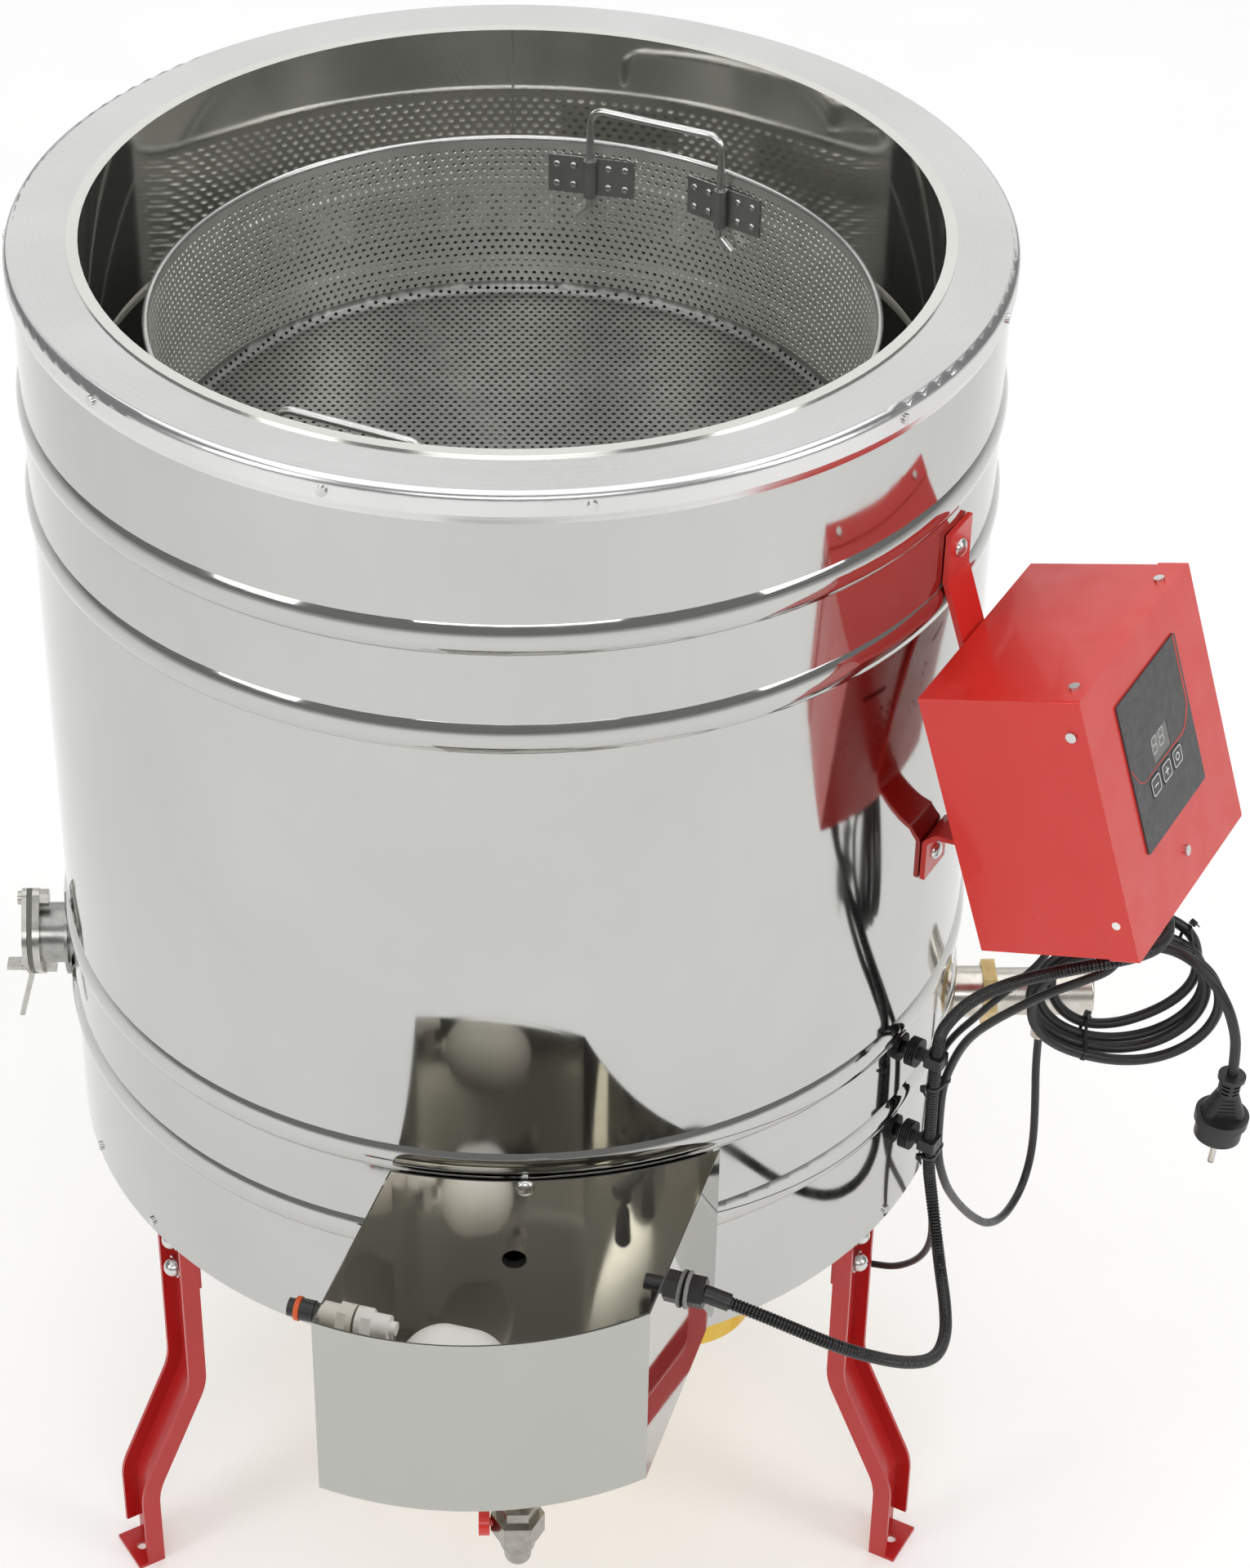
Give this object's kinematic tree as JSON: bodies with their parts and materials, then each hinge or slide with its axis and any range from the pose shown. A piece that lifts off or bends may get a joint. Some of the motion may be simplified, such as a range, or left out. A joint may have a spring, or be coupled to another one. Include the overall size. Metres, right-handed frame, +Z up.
{
  "type": "wax centrifuge",
  "caption": "Heated steel drum on legs with a spinning perforated basket, float-fed water tank, wax gate, immersion heater and a control box with coiled mains lead.",
  "frame": {"origin": "on the floor under the drum's axis, at the centre of the circle of foot holes", "axes": "+Z up along the spindle, the water tank on the -Y side, the control box and heater on the +X side"},
  "size_m": [0.9439, 0.89, 1.15],
  "materials": {
    "shell_steel": "polished",
    "rim_steel": "satin",
    "drum_steel": "satin",
    "basket_steel": "satin",
    "zinc_steel": "satin",
    "bright_steel": "machined",
    "red_paint": "gloss powder coat",
    "yellow_paint": "gloss",
    "motor_paint": "satin",
    "brass": "machined",
    "nickel": "satin plate",
    "black_plastic": "matte",
    "white_plastic": "matte",
    "keypad_film": "satin",
    "key_film": "satin",
    "board_green": "satin",
    "belt_rubber": "matte",
    "gasket_rubber": "matte",
    "lead_black": "matte"
  },
  "bodies": {
    "frame": {"outer_shell": "shell_steel", "drum_wall": "drum_steel", "drum_floor": "drum_steel", "top_rim": "rim_steel", "bottom_plate": "shell_steel", "leg_front_left": "red_paint", "leg_front_right": "red_paint", "leg_rear": "red_paint", "leg_brackets": "red_paint", "bearing_housing": "drum_steel", "shaft_bearings": "bright_steel", "motor_mount": "red_paint", "motor_body": "motor_paint", "drive_belt": "belt_rubber", "belt_guard": "yellow_paint", "water_tank": "shell_steel", "frame_bolts": "zinc_steel", "float_valve_body": "white_plastic", "hose_connector": "black_plastic", "level_switch_body": "black_plastic", "drain_valve_body": "nickel", "gate_stub": "drum_steel", "gate_flange": "shell_steel", "gate_gasket": "gasket_rubber", "heater_socket": "drum_steel", "heater_ring": "brass", "heater_head": "bright_steel", "heater_element": "bright_steel", "box_rear_case": "red_paint", "box_front_cover": "red_paint", "pan_screws": "zinc_steel", "keypad": "keypad_film", "control_board": "board_green", "cable_glands": "black_plastic", "box_bracket": "red_paint", "pipe_clips": "black_plastic", "conduit": "black_plastic", "heater_lead": "lead_black", "motor_lead": "lead_black", "mains_coil": "lead_black", "mains_cord": "lead_black", "mains_plug": "black_plastic"},
    "rotor": {"drive_shaft": "bright_steel", "driven_pulley": "bright_steel"},
    "motor_rotor": {"motor_pulley": "bright_steel"},
    "basket": {"basket_wall": "basket_steel", "basket_floor": "basket_steel", "basket_spider": "basket_steel", "handle_brackets": "basket_steel"},
    "rear_handle": {"handle_rear": "basket_steel"},
    "front_handle": {"handle_front": "basket_steel"},
    "water_float": {"float_lever": "white_plastic"},
    "switch_float": {"level_switch_float": "black_plastic"},
    "drain_handle": {"drain_lever": "red_paint"},
    "gate": {"gate_blade": "shell_steel"},
    "gate_clamp": {"gate_screw": "zinc_steel"},
    "minus_key": {"key_minus": "key_film"},
    "plus_key": {"key_plus": "key_film"},
    "power_key": {"key_power": "key_film"}
  },
  "joints": [
    {"name": "spindle_spin", "type": "hinge", "parent": "frame", "child": "rotor", "pos_m": [0, 0, 0.6], "axis": [0, 0, 1], "continuous": true},
    {"name": "motor_spin", "type": "hinge", "parent": "frame", "child": "motor_rotor", "pos_m": [0.129, -0.137, 0.27], "axis": [0, 0, 1], "continuous": true},
    {"name": "basket_lift", "type": "slide", "parent": "rotor", "child": "basket", "axis": [0, 0, 1], "range_m": [0, 0.26]},
    {"name": "rear_handle_slide", "type": "slide", "parent": "basket", "child": "rear_handle", "axis": [0, 0, 1], "range_m": [-0.03, 0]},
    {"name": "front_handle_slide", "type": "slide", "parent": "basket", "child": "front_handle", "axis": [0, 0, 1], "range_m": [-0.03, 0]},
    {"name": "float_swing", "type": "hinge", "parent": "frame", "child": "water_float", "pos_m": [-0.09355, -0.4215, 0.474], "axis": [0.2909, 0.9567, 0], "range_deg": [-15, 10]},
    {"name": "switch_float_swing", "type": "hinge", "parent": "frame", "child": "switch_float", "pos_m": [0.10106, -0.39288, 0.4995], "axis": [0.2909, 0.9567, 0], "range_deg": [0, 65]},
    {"name": "drain_turn", "type": "hinge", "parent": "frame", "child": "drain_handle", "pos_m": [0, -0.465, 0.343], "axis": [1, 0, 0], "range_deg": [-90, 0]},
    {"name": "gate_swing", "type": "hinge", "parent": "frame", "child": "gate", "pos_m": [-0.3853, 0, 0.551], "axis": [-1, 0, 0], "range_deg": [0, 120]},
    {"name": "gate_clamp_turn", "type": "hinge", "parent": "gate", "child": "gate_clamp", "pos_m": [-0.39, 0, 0.484], "axis": [-1, 0, 0], "range_deg": [-180, 180]},
    {"name": "minus_key_press", "type": "slide", "parent": "frame", "child": "minus_key", "axis": [-0.8246, 0.4761, -0.3057], "range_m": [0, 0.0008], "stiffness_N_per_m": 400},
    {"name": "plus_key_press", "type": "slide", "parent": "frame", "child": "plus_key", "axis": [-0.8246, 0.4761, -0.3057], "range_m": [0, 0.0008], "stiffness_N_per_m": 400},
    {"name": "power_key_press", "type": "slide", "parent": "frame", "child": "power_key", "axis": [-0.8246, 0.4761, -0.3057], "range_m": [0, 0.0008], "stiffness_N_per_m": 400}
  ],
  "couplings": [
    {"joint": "motor_spin", "follows": "spindle_spin", "ratio": 3.6}
  ]
}
